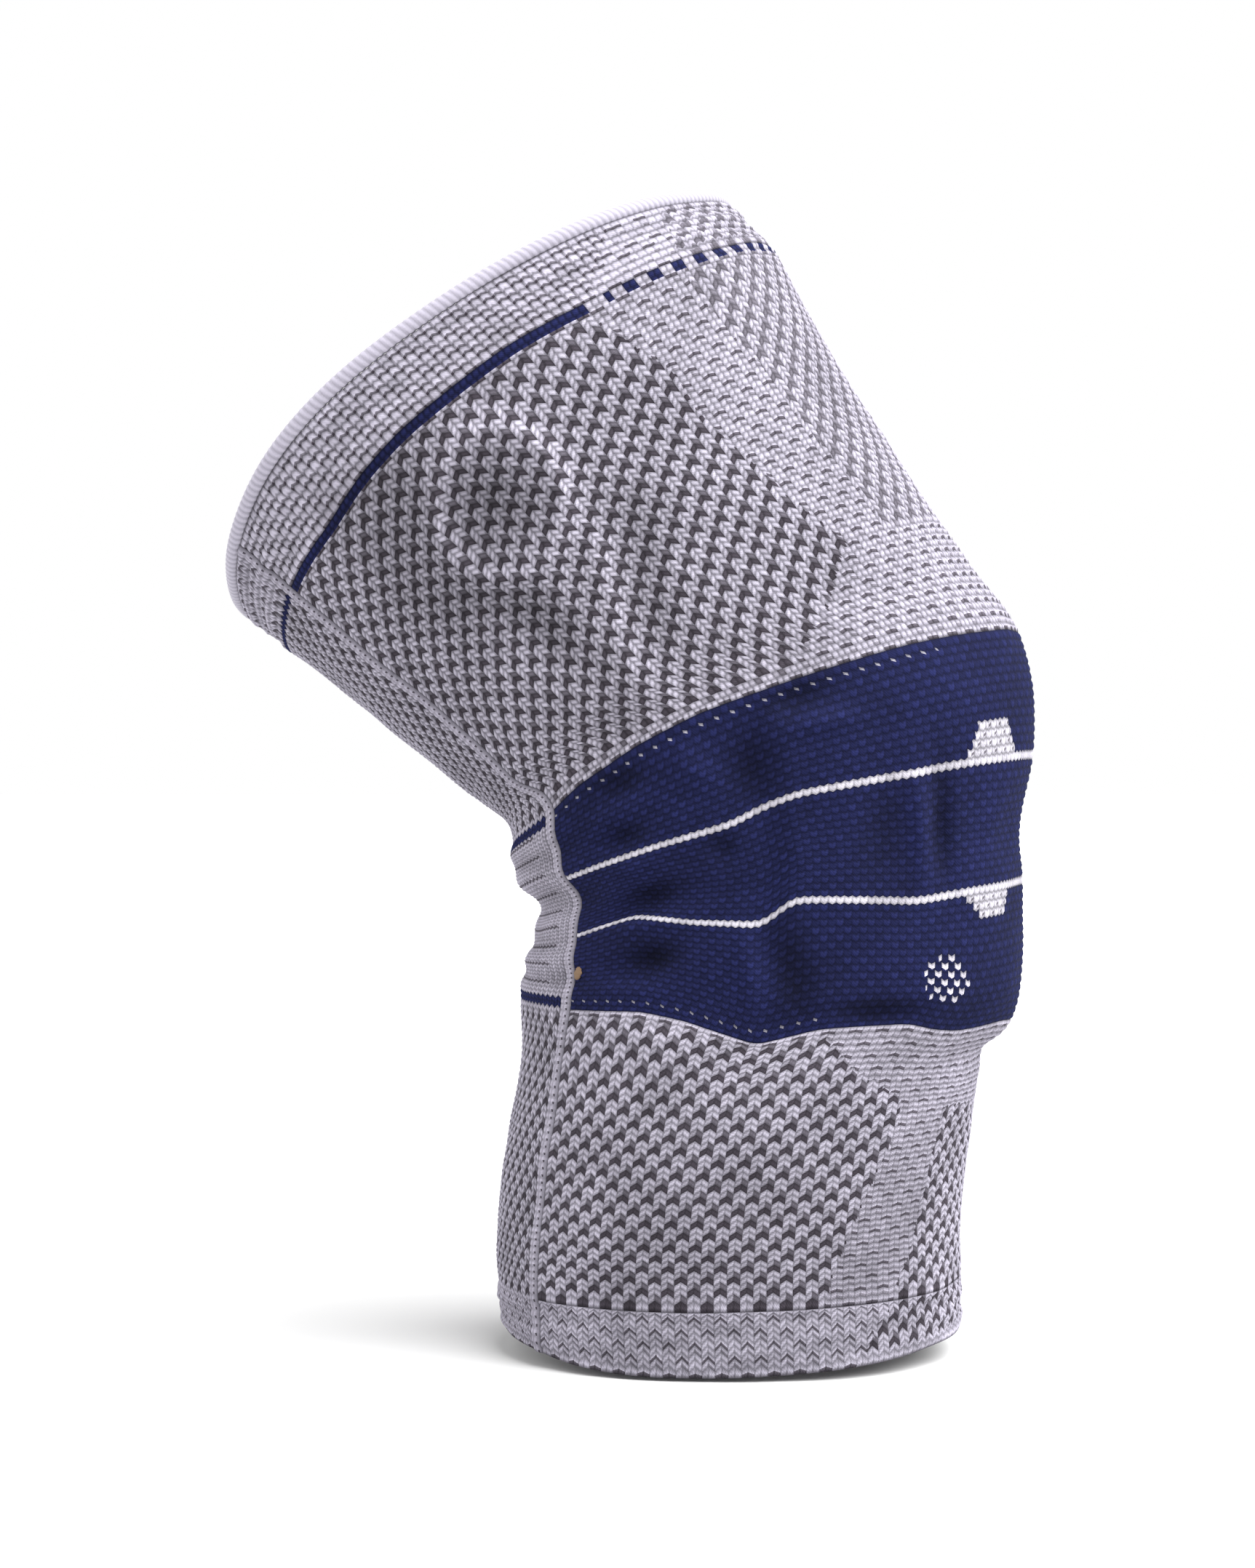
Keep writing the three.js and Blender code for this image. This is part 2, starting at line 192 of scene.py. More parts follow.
# Rows of the two-colour knit on the welt, which is finer than the bricks beside it.
WELT_FINE_ROWS = 12
# Courses run in small bows: how far a bow's middle drops below its ends, in millimetres, below 0 for a rise.
STITCH_DROPS = (-1.0, -1.0, 0.4, -1.0, -0.5)
# Wales that one bow spans: the two-colour knit's stitches show their two legs as a wale each.
BOW_WALES = (2, 2, 1, 2, 1)
# Rows from a zone's first and last course over which the courses run flat, then reach their full bow.
FREE_ROWS = ((0, 1.2), (0, 1.2), (0, 1.2), (1.6, 3.4), (0, 1.2))
# Share of the bow in the light zones' flatter stitches.
LIGHT_BOW = 0.35
# Height of a stitch at its facets' edges, by their number: two legs, and grooves between stitches and rows.
LEGS = {3: (0.05, 1.0, 0.95), 4: (0.3, 1.0, 0.75, 1.0)}
STEPS = {2: (0.1, 1.0), 3: (0.0, 1.0, 0.8)}
# Height of tucked stitches, how far dark yarn sinks, and the height that the smooth inner face is shaded as.
TUCK_HEIGHT, DARK_SINK, INNER_HEIGHT = 0.45, 0.5, 0.6
# Shares of dark yarn that show: in the two-colour knit, the floats, the bricks' gaps and single details.
PAIR_SHADE, LINK_SHADE, FAINT_SHADE = 0.95, 0.75, 0.2
FLOAT_SHADE, FAINT_FLOATS = 0.85, (0.15, 0.5)
SIDE_GAP, BRICK_GAP, SQUARE_GAP = 0.4, 0.7, 0.6
CALF_FLOAT_SHADE, DOT_SHADE, RIB_SHADE = 0.3, 0.8, 0.12
# Floats and gaps fill a row's height up to this share.
LOW_PART = 0.3

# Edges of the light zones, as (level, turn) lines: behind them is the two-colour knit.
THIGH_LIGHT_BACK = [(3, 84), (3.091, 74.3), (3.141, 67), (3.193, 61.8), (3.26, 54.5), (3.333, 56.9),
                    (3.407, 59.5), (3.487, 60), (3.567, 62.1), (3.682, 63.7), (3.783, 62.9), (3.978, 69.7),
                    (4, 69.7), (5, 54.8)]
THIGH_LIGHT_FRONT = [(3.234, 40.2), (3.276, 43.1), (3.364, 42.3), (3.451, 43.6), (3.541, 44.9),
                     (3.621, 45.4), (3.732, 46.2), (3.855, 48.8), (3.94, 49.8), (4.656, 45.4), (5, 45)]
CALF_LIGHT_BACK = [(0, 71), (1, 69), (1.091, 67.3), (1.237, 63.7), (1.408, 59.5), (1.544, 56.1),
                   (1.658, 53.7), (1.738, 54), (1.799, 60.5), (1.846, 67.3), (2, 79.8)]
CALF_LIGHT_FRONT = [(0, 60), (0.5, 56.4), (1.054, 50.1), (1.17, 45.1), (1.344, 41.7), (1.52, 40.7),
                    (1.625, 38.1), (1.682, 38.9), (1.72, 31)]
# Level where the light zone at the very front ends, as (turn, level) lines.
THIGH_FRONT_TOP = [(0, 3.22), (10, 3.224), (17, 3.27), (43.1, 3.276), (60, 3.23)]
CALF_FRONT_FOOT = [(0, 1.69), (31.3, 1.691), (38.9, 1.7), (60, 1.74)]
BLUE_COURSE_END, BLUE_DASH_START, BLUE_ROWS = 69.4, 65.5, 1.7
LINE_ROWS = (17, 33)
# In front of this turn the thigh's two-colour knit shows only this share of its dark yarn.
FRONT_TURN, FRONT_SHARE = 50, 0.75
# Tabs below the lower white line and above the upper one: the turns of their sides at the line, then each
# tab's rows and how far its front side and its back side lean in.
TAB_TURNS, LOW_TAB, HIGH_TAB = (32.5, 51), (3, 2, 6), (4, 4, 4)
# Broken lines of small ticks at the band's foot and head: the turns behind which they show, and their white.
TICK_TURNS, TICK_WHITE = (80, 53), 0.7
# Turn behind which the back panel's dark courses show in the hollow, and rows from one to the next.
COURSE_TURN, COURSE_ROWS = 150, 5
# Round dotted spot below the lower line: turn, row, and its half width in degrees and in rows.
SPOT = (53.5, 6.2, 6.2, 3.1)


def srgb(code):
    """Linear red, green and blue of an sRGB hex colour."""
    parts = [int(code[i:i + 2], 16) / 255 for i in (1, 3, 5)]
    return tuple(p / 12.92 if p <= 0.04045 else ((p + 0.055) / 1.055) ** 2.4 for p in parts)


def rgba(colour):
    return (*colour[:3], 1.0)


class KneeSleeveSizes(bpy.types.PropertyGroup):
    stitch_height: bpy.props.FloatProperty(
        name="Stitch height", description="How far a light stitch stands out of the knit", default=0.34 * MM,
        min=0.0, max=1.0 * MM, precision=5, unit="LENGTH")
    binding_wraps: bpy.props.IntProperty(
        name="Binding wraps", description="Turns of yarn round the rim's binding", default=270, min=60,
        max=400)
    pile: bpy.props.FloatProperty(
        name="Fibre bump", description="Depth of the fibres' bump on the yarn", default=0.05 * MM,
        min=0.0, max=0.5 * MM, precision=5, unit="LENGTH")


def colour(name, description, code):
    """A colour that a user can change, with its default as an sRGB hex value."""
    return bpy.props.FloatVectorProperty(name=name, description=description, default=srgb(code),
                                         subtype="COLOR", min=0, max=1)


class KneeSleeveColours(bpy.types.PropertyGroup):
    light_yarn: colour("Light yarn", "Pale lilac grey yarn", "#9B97A4")
    dark_yarn: colour("Dark yarn", "Charcoal yarn of the two-colour knit", "#3A343C")
    blue_yarn: colour("Blue yarn", "Navy yarn of the knee zone", "#181C41")
    white_yarn: colour("White yarn", "Yarn of the fine lines on the knee zone", "#A5A2AB")
    tack_thread: colour("Tack thread", "Thread of the small bar tack at the seam", "#614A33")
    floor: colour("Floor", "Plain pale studio floor", "#C4C4C4")


# The leg's form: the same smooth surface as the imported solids.

def stack_courses():
    """The main courses in millimetres, stacked along the leg's middle line, one row each."""
    rows = []
    x = z = 0.0
    below = None
    for level, lean, tilt, limb, depth, width, bow in COURSES:
        zone = min(int(math.ceil(level)) - 1, RIM - 1) if level > 0 else 0
        step = 0 if below is None else (level - below) * ZONE_HEIGHTS[zone]
        x -= step * math.sin(lean * BEND * DEGREE)
        z += step * math.cos(lean * BEND * DEGREE)
        limb_depth, limb_width, seam = LIMBS[limb]
        rows.append((level, x, z, tilt * BEND * DEGREE, depth * limb_depth / 2, width * limb_width / 2,
                     bow * limb_depth, seam * DEGREE))
        below = level
    stack = np.array(rows)
    stack[:, 1:3] -= stack[ORIGIN_COURSE, 1:3]
    return stack[:, 0], stack[:, 1:]


ZONE_FEET = np.concatenate([[0], np.cumsum(ZONE_HEIGHTS)])


def height_of(level):
    """Millimetres up the leg's middle line at each level."""
    return np.interp(level, np.arange(RIM + 1), ZONE_FEET)


def level_of(height):
    return np.interp(height, ZONE_FEET, np.arange(RIM + 1))


LEVELS, STACK = stack_courses()
HEIGHTS = height_of(LEVELS)


def stack_slopes():
    """Slope of each column at each course, for a smooth line through all of them."""
    spans = np.diff(HEIGHTS)[:, None]
    pitch = np.diff(STACK, axis=0) / spans
    middle = (pitch[:-1] * spans[1:] + pitch[1:] * spans[:-1]) / (spans[:-1] + spans[1:])
    return np.vstack([pitch[:1], middle, pitch[-1:]])


SLOPES = stack_slopes()


def course_at(level):
    """Columns x, z, tilt, depth, width, bow and seam of the course at each level."""
    height = height_of(np.asarray(level, float))
    i = np.clip(np.searchsorted(HEIGHTS, height, side="left") - 1, 0, len(HEIGHTS) - 2)
    span = (HEIGHTS[i + 1] - HEIGHTS[i])[..., None]
    t = (height - HEIGHTS[i])[..., None] / span
    start = 2 * t ** 3 - 3 * t ** 2 + 1
    leave = t ** 3 - 2 * t ** 2 + t
    arrive = t ** 3 - t ** 2
    columns = start * STACK[i] + (1 - start) * STACK[i + 1]
    columns = columns + span * (leave * SLOPES[i] + arrive * SLOPES[i + 1])
    return np.moveaxis(columns, -1, 0)


def bare(turn, level):
    """Points of the knit's outer face before its relief."""
    x, z, tilt, depth, width, bow_size, _seam = course_at(level)
    c, s = np.cos(turn), np.sin(turn)
    roundness = (np.abs(c) ** SQUARENESS + np.abs(s) ** SQUARENESS) ** (-1 / SQUARENESS)
    bow = bow_size * np.abs(s * roundness) ** BOW_POWER * (1 - BOW_TO_BACK * c * roundness)
    forward = depth * c * roundness
    return np.stack([x + forward * np.cos(tilt) - bow * np.sin(tilt), -width * s * roundness,
                     z + forward * np.sin(tilt) + bow * np.cos(tilt)], axis=-1)


def smooth_step(low, high, value):
    t = np.clip((value - low) / (high - low), 0, 1)
    return t * t * (3 - 2 * t)


def grow_and_fade(edges, value):
    """Grows from 0 to 1 between the first two edges, and fades to 0 between the last two."""
    return smooth_step(*edges[:2], value) * (1 - smooth_step(*edges[2:], value))


def degrees_from_front(turn):
    return np.abs((turn + math.pi) % (2 * math.pi) - math.pi) / DEGREE


def relief(turn, level):
    """Millimetres that pads, creases and pressed places lift the knit off its bare face."""
    degrees = degrees_from_front(turn)
    across_pad = 1 - smooth_step(PAD_TURN - PAD_EDGE_TURN, PAD_TURN + PAD_EDGE_TURN, degrees)
    up_pad = grow_and_fade((*PAD_FOOT, *PAD_HEAD), level)
    lift = PAD_LIFT * across_pad * up_pad * smooth_step(0, PAD_FRONT_TURN, degrees)
    lift = lift + folds(degrees, level, PRESSED) + folds(degrees, level, CREASES)
    return lift + ring(degrees, level) + uneven(degrees, level)


def folds(degrees, level, places):
    lift = 0
    for up, tall, middle, wide, slant, height in places:
        rise = (level - up) / tall
        across = (degrees - middle - slant * (level - up)) / wide
        lift = lift + height * np.exp(-rise ** 2 - across ** 2)
    return lift


def ring(degrees, level):
    along = (level - RING["level"]) * ZONE_HEIGHTS[3] / RING["tall"]
    reach = np.hypot((degrees - RING["turn"] + RING["slant"] * along) * MM_PER_DEGREE, along)
    crest = RING["lift"] * np.exp(-((reach - RING["crest"]) / RING["crest_wide"]) ** 2)
    return crest - RING["dish"] * np.exp(-(reach / (RING["dish_share"] * RING["crest"])) ** 2)


def uneven(degrees, level):
    lift = sum(height * np.sin(up * level + across * degrees * DEGREE) for height, up, across in UNEVEN)
    hollow = grow_and_fade(HOLLOW_LEVELS, level) * smooth_step(*HOLLOW_TURNS, degrees)
    return lift + HOLLOW_RIB * hollow * np.sin(2 * math.pi * (level - 2) / HOLLOW_PITCH)


def fold_shade(turn, level):
    """Painted share of light on the yarn: less in folds, dishes and shaded sides, a little more on crests."""
    degrees = degrees_from_front(turn)
    lift = np.clip(folds(degrees, level, CREASES) + SHADE_RING * ring(degrees, level), *SHADE_LIMITS)
    lift = lift + uneven(degrees, level)
    # Painted shade that darkens the back of the thigh and the calf's sides.
    closed = sum(shade * grow_and_fade(turns, degrees) * grow_and_fade(levels, level)
                 for shade, turns, levels in PAINTED_SIDE_SHADE)
    return (1 - closed) * np.exp(np.where(lift < 0, SHADE_DOWN, SHADE_UP) * lift)


def unit(vectors):
    return vectors / np.maximum(np.linalg.norm(vectors, axis=-1, keepdims=True), 1e-12)


def directions(turn, level):
    """Unit directions at points of the face: round the leg, up the leg and out of the knit."""
    small = 1e-3
    around = unit(bare(turn + small, level) - bare(turn - small, level))
    up = unit(bare(turn, np.minimum(level + small, RIM)) - bare(turn, np.maximum(level - small, 0)))
    out = unit(np.cross(up, around))
    facing = out[..., 0] * np.cos(turn) - out[..., 1] * np.sin(turn)
    return around, up, out * np.where(facing < 0, -1, 1)[..., None]


def knit_points(turn, level, out=0.0, raised=0.0):
    """Points of the knit moved off its outer face by out and up the leg by raised, in millimetres."""
    _around, up, normal = directions(turn, level)
    lift = (relief(turn, level) + out)[..., None]
    return bare(turn, level) + normal * lift + up * np.asarray(raised)[..., None]


def guide_table():
    """Shift of each guide course in millimetres, at every column from the front, with its corners eased."""
    turns = np.arange(0, 180 + GUIDE_STEP, GUIDE_STEP)
    reach = np.arange(-EASE_REACH, EASE_REACH + 1)
    ease = np.exp(-(reach / EASE_WIDE) ** 2)
    ease /= ease.sum()
    table = []
    for level, knots in GUIDES:
        shift = height_of(np.interp(turns, *zip(*knots))) - height_of(level)
        padded = np.pad(shift, EASE_REACH, mode="edge")
        table.append(np.convolve(padded, ease, mode="valid"))
    return turns, height_of(np.array([level for level, _knots in GUIDES])), np.array(table)


GUIDE_TURNS, GUIDE_HEIGHTS, GUIDE_SHIFTS = guide_table()


def worn_level(turn, level):
    """Level where a chart's level lies on the worn sleeve, because the courses wander."""
    height = height_of(level)
    at = degrees_from_front(turn) / GUIDE_STEP
    column = np.clip(at.astype(int), 0, len(GUIDE_TURNS) - 2)
    share = at - column
    row = np.clip(np.searchsorted(GUIDE_HEIGHTS, height, side="right") - 1, 0, len(GUIDE_HEIGHTS) - 2)
    up = (height - GUIDE_HEIGHTS[row]) / (GUIDE_HEIGHTS[row + 1] - GUIDE_HEIGHTS[row])
    low = GUIDE_SHIFTS[row, column] * (1 - share) + GUIDE_SHIFTS[row, column + 1] * share
    high = GUIDE_SHIFTS[row + 1, column] * (1 - share) + GUIDE_SHIFTS[row + 1, column + 1] * share
    return level_of(height + low * (1 - up) + high * up)


def seam_edge(level, side):
    """Turn of the near seam's edge at each level: side is -1 towards the front and 1 towards the back."""
    turn = course_at(level)[6]
    turn = turn + KNEE_SEAM_SHIFT * DEGREE * np.exp(-((level - KNEE_SEAM_LEVEL) / KNEE_SEAM_REACH) ** 2)
    small = 1e-3
    length = np.linalg.norm(bare(turn + small, level) - bare(turn - small, level), axis=-1)
    return turn + side * SEAM_WIDTH / 2 * 2 * small / length


def even_turns(levels, start, end, shares):
    """Turns that lie at even shares of the way from start to end, one row for each level."""
    steps = np.linspace(0, 1, 361)
    turns = start[:, None] + (end - start)[:, None] * steps
    points = bare(turns, np.repeat(levels[:, None], len(steps), axis=1))
    lengths = np.linalg.norm(np.diff(points, axis=1), axis=-1)
    travel = np.concatenate([np.zeros((len(levels), 1)), np.cumsum(lengths, axis=1)], axis=1)
    travel /= travel[:, -1:]
    return np.array([np.interp(shares, travel[row], turns[row]) for row in range(len(levels))])


# Charts: which yarn shows in each part of each stitch, and how high the stitch stands.

def blank(shape):
    return {name: np.zeros(shape) for name in ("dark", "blue", "white")} | {
        name: np.ones(shape) for name in ("height", "bow")}


def inside_light(turn, level, back, front, end, below):
    """Where the light zone lies between its two edges, or past its end at the very front."""
    end_level = np.interp(turn, *zip(*end))
    past = level < end_level if below else level > end_level
    behind = turn > np.interp(level, *zip(*front))
    return (turn < np.interp(level, *zip(*back))) & (behind | past)


def two_colour(wale, row):
    """Dark pairs of stitches on a lattice of four by four, joined up and forward by half-shown ones."""
    step, place = row % 4, wale % 4
    pair = ((step == 0) & (place < 2)) | ((step == 2) & (place > 1))
    link = ((step == 1) & (place == 1)) | ((step == 3) & (place == 3))
    faint = ((step == 1) & (place == 0)) | ((step == 3) & (place == 2))
    return PAIR_SHADE * pair + LINK_SHADE * link + FAINT_SHADE * faint


def dashes(wale, row, part_up):
    """Dark floats on light ground, two stitches wide and half a row high, and fainter ones a row below."""
    step = (row + 2 * (wale // 2 % 2)) % 4
    faint = np.where(step == 1, np.array(FAINT_FLOATS)[wale % 2], 0.0)
    return np.where(part_up < LOW_PART, np.where(step == 2, FLOAT_SHADE, faint), 0.0)


def bricks(wale, row, part_across, part_up):
    """Tall light bricks one stitch wide and two rows high, small squares between, and dark gaps round."""
    place = (row - wale // 2 - 2 * (wale % 2)) % 3
    low = part_up < LOW_PART
    gap = (part_across < 0.2) * SIDE_GAP + ((place == 0) & low) * BRICK_GAP
    return np.minimum(gap + ((place == 1) & low) * SQUARE_GAP, 1.0)


def light_chart(chart, where, wale, row, part_up):
    chart["dark"] = np.where(where, dashes(wale, row, part_up), chart["dark"])
    chart["bow"] = np.where(where, LIGHT_BOW, chart["bow"])


def thigh_chart(wale, row, part_across, part_up, turn, level):
    chart = blank(wale.shape)
    chart["dark"] = two_colour(wale, row) * np.where(turn < FRONT_TURN, FRONT_SHARE, 1)
    light = inside_light(turn, level, THIGH_LIGHT_BACK, THIGH_LIGHT_FRONT, THIGH_FRONT_TOP, True) | (row < 1)
    light_chart(chart, light, wale, row, part_up)
    top = row + part_up >= ZONE_ROWS[3] - BLUE_ROWS
    solid = top & (turn > BLUE_COURSE_END)
    dash = top & (turn < BLUE_DASH_START)
    return blue_course(chart, solid, dash, wale)


def blue_course(chart, solid, dash, wale):
    chart["blue"] = (solid | (dash & (wale % 4 < 2))).astype(float)
    chart["dark"] = np.where(solid | dash, 0.0, chart["dark"])
    return chart


def welt_chart(wale, row, part_across, part_up, turn, level):
    chart = blank(wale.shape)
    fine_wale = np.floor((wale + part_across) * ZONE_WALES[3] / ZONE_WALES[4] + 1e-6).astype(int)
    fine_row = np.floor((row + part_up) * WELT_FINE_ROWS / ZONE_ROWS[4] + 1e-6).astype(int)
    chart["dark"] = two_colour(fine_wale, fine_row) * np.where(turn < FRONT_TURN, FRONT_SHARE, 1)
    back = turn >= np.interp(level, *zip(*THIGH_LIGHT_BACK))
    light = (turn >= np.interp(level, *zip(*THIGH_LIGHT_FRONT))) & ~back
    light_chart(chart, light, fine_wale, fine_row, part_up)
    chart["dark"] = np.where(back, bricks(wale, row, part_across, part_up), chart["dark"])
    return chart


def calf_chart(wale, row, part_across, part_up, turn, level):
    chart = blank(wale.shape)
    chart["dark"] = two_colour(wale, row)
    light = inside_light(turn, level, CALF_LIGHT_BACK, CALF_LIGHT_FRONT, CALF_FRONT_FOOT, False)
    light_chart(chart, light | (row == ZONE_ROWS[1] - 1), wale, row, part_up)
    closed = light & (part_up < LOW_PART)
    chart["dark"] = np.where(closed, np.maximum(chart["dark"], CALF_FLOAT_SHADE), chart["dark"])
    return chart


def hem_chart(wale, row, part_across, part_up, turn, level):
    chart = blank(wale.shape)
    front = turn < np.interp(level, *zip(*CALF_LIGHT_FRONT))
    chart["dark"] = np.where(front, two_colour(wale, row) * (row > 1), dashes(wale, row, part_up))
    return chart


def tab_at(turn, steps, tab):
    """Where a tab stands on its line: steps counts the rows from the line to its end."""
    rows, front_lean, back_lean = tab
    share = steps / rows
    inside = (turn > TAB_TURNS[0] + front_lean * share) & (turn < TAB_TURNS[1] - back_lean * share)
    return inside & (share > 0) & (share <= 1)


def band_chart(wale, row, part_across, part_up, turn, level):
    """Dense blue knit in which raised stitches alternate with tucked, sunk ones, with two white lines."""
    chart = blank(wale.shape)
    chart["blue"][:] = 1.0
    raised = (wale + row) % 2 == 0
    tick = (wale % 2 == 0) & (part_across < 0.3) & (part_up > 0.6)
    tick &= ((row == 1) & (turn > TICK_TURNS[0])) | ((row == ZONE_ROWS[2] - 2) & (turn > TICK_TURNS[1]))
    tab = tab_at(turn, LINE_ROWS[0] - row, LOW_TAB) | tab_at(turn, row - LINE_ROWS[1], HIGH_TAB)
    dots = tab & raised & (part_across > 0.4) & (part_up > LOW_PART) & (part_up < 0.6)
    spot = np.hypot((turn - SPOT[0]) / SPOT[2], (row - SPOT[1]) / SPOT[3]) < 1
    spot &= raised & (part_up > LOW_PART)
    white = (row == LINE_ROWS[0]) | (row == LINE_ROWS[1]) | tab | spot
    chart["white"] = np.where(tick, TICK_WHITE, white.astype(float))
    chart["dark"] = np.where(dots, DOT_SHADE, 0.0)
    chart["height"] = np.where(white | raised, 1.0, TUCK_HEIGHT)
    return chart


def back_chart(wale, row, part_across, part_up, turn, level):
    """Two-colour knit on the limbs, and plain fine ribs with thin dark courses in the hollow of the knee."""
    chart = blank(wale.shape)
    hem, calf, band, thigh, _welt = np.cumsum(ZONE_ROWS)
    chart["dark"] = two_colour(wale, row)
    plain = (row >= calf - 1) & (row < band + 1)
    course = plain & (row % COURSE_ROWS == 2) & (turn > COURSE_TURN) & (part_up < LOW_PART)
    chart["dark"] = np.where(plain, np.where(course, FLOAT_SHADE, RIB_SHADE * (wale % 2)), chart["dark"])
    light = (row < hem) | (row > thigh)
    chart["dark"] = np.where(light, dashes(wale, row, part_up), chart["dark"])
    stripe = ((row >= calf) & (row < calf + 2)) | ((row >= band - 2) & (row < band)) | (row == thigh - 1)
    chart["blue"] = stripe.astype(float)
    chart["dark"] = np.where(stripe, 0.0, chart["dark"])
    return chart


def stitch_shape(column, line, facets):
    """Share of a stitch's full height over its facets."""
    across, up = facets
    return np.array(LEGS[across])[column % across] * np.array(STEPS[up])[line % up]


# Building: flat walls of knit from bmesh grids, wrapped round the leg.

def edge_chain(edges, depth, axis, value):
    """Rim edges of one side of the flat wall."""
    def on_side(vert):
        return abs(vert.co.z - depth) < 1e-6 and abs(vert.co[axis] - value) < 1e-6

    return [edge for edge in edges if all(on_side(vert) for vert in edge.verts)]


def flat_wall(columns, rows, inner_columns, inner_rows):
    """A closed flat wall: a fine outer grid at z 0 and a coarse inner grid at z -1, with bridged sides."""
    bm = bmesh.new()
    bmesh.ops.create_grid(bm, x_segments=columns, y_segments=rows, size=1.0)
    inner = bmesh.ops.create_grid(bm, x_segments=inner_columns, y_segments=inner_rows, size=1.0)["verts"]
    inner_faces = list({face for vert in inner for face in vert.link_faces})
    bmesh.ops.translate(bm, verts=inner, vec=(0, 0, -1))
    bmesh.ops.reverse_faces(bm, faces=inner_faces)
    rim = [e for e in bm.edges if e.is_boundary]
    sides = []
    for axis in (0, 1):
        for value in (-1, 1):
            pair = edge_chain(rim, 0, axis, value) + edge_chain(rim, -1, axis, value)
            sides += bmesh.ops.bridge_loops(bm, edges=pair)["faces"]
    for face in sides:
        face.normal_update()
        if face.normal.dot(face.calc_center_median()) < 0:
            face.normal_flip()
    return bm


def mesh_from(bm, name):
    mesh = bpy.data.meshes.new(name)
    bm.to_mesh(mesh)
    bm.free()
    return mesh


def close_up(mesh):
    """Merges doubled vertices and points all faces outwards."""
    bm = bmesh.new()
    bm.from_mesh(mesh)
    bmesh.ops.remove_doubles(bm, verts=bm.verts, dist=1e-6)
    bmesh.ops.recalc_face_normals(bm, faces=bm.faces)
    bm.to_mesh(mesh)
    bm.free()


def vertex_array(mesh):
    co = np.empty(len(mesh.vertices) * 3, np.float32)
    mesh.vertices.foreach_get("co", co)
    return co.reshape(-1, 3).astype(float)


def place_vertices(mesh, points):
    """Moves the mesh's vertices to points in millimetres, held in metres."""
    mesh.vertices.foreach_set("co", (points * MM).astype(np.float32).ravel())
    mesh.update()


def face_middles(mesh, values):
    """Mean of a vertex value over each face's corners."""
    starts = np.empty(len(mesh.polygons), np.int32)
    mesh.polygons.foreach_get("loop_start", starts)
    corners = np.empty(len(mesh.loops), np.int32)
    mesh.loops.foreach_get("vertex_index", corners)
    totals = np.add.reduceat(values[corners], starts, axis=0)
    counts = np.diff(np.append(starts, len(corners)))
    return totals / (counts[:, None] if totals.ndim > 1 else counts)


def add_attribute(mesh, name, domain, values):
    mesh.attributes.new(name, "FLOAT", domain).data.foreach_set("value", values.astype(np.float32))


def add_stitch_map(mesh, wale, row):
    """UV map in whole stitches: one unit is one wale across and one row up."""
    corners = np.empty(len(mesh.loops), np.int32)
    mesh.loops.foreach_get("vertex_index", corners)
    both = np.stack([wale[corners], row[corners]], axis=1)
    mesh.uv_layers.new(name="Stitches").data.foreach_set("uv", both.astype(np.float32).ravel())


def finish_piece(name, mesh, material, nodes):
    """Links the mesh as one smooth piece of the sleeve on the sleeve's only body."""
    mesh.materials.append(material)
    mesh.polygons.foreach_set("use_smooth", np.ones(len(mesh.polygons), bool))
    piece = bpy.data.objects.new(name, mesh)
    bpy.context.scene.collection.objects.link(piece)
    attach(piece, "root")
    if nodes:
        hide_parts(*nodes)
    return piece


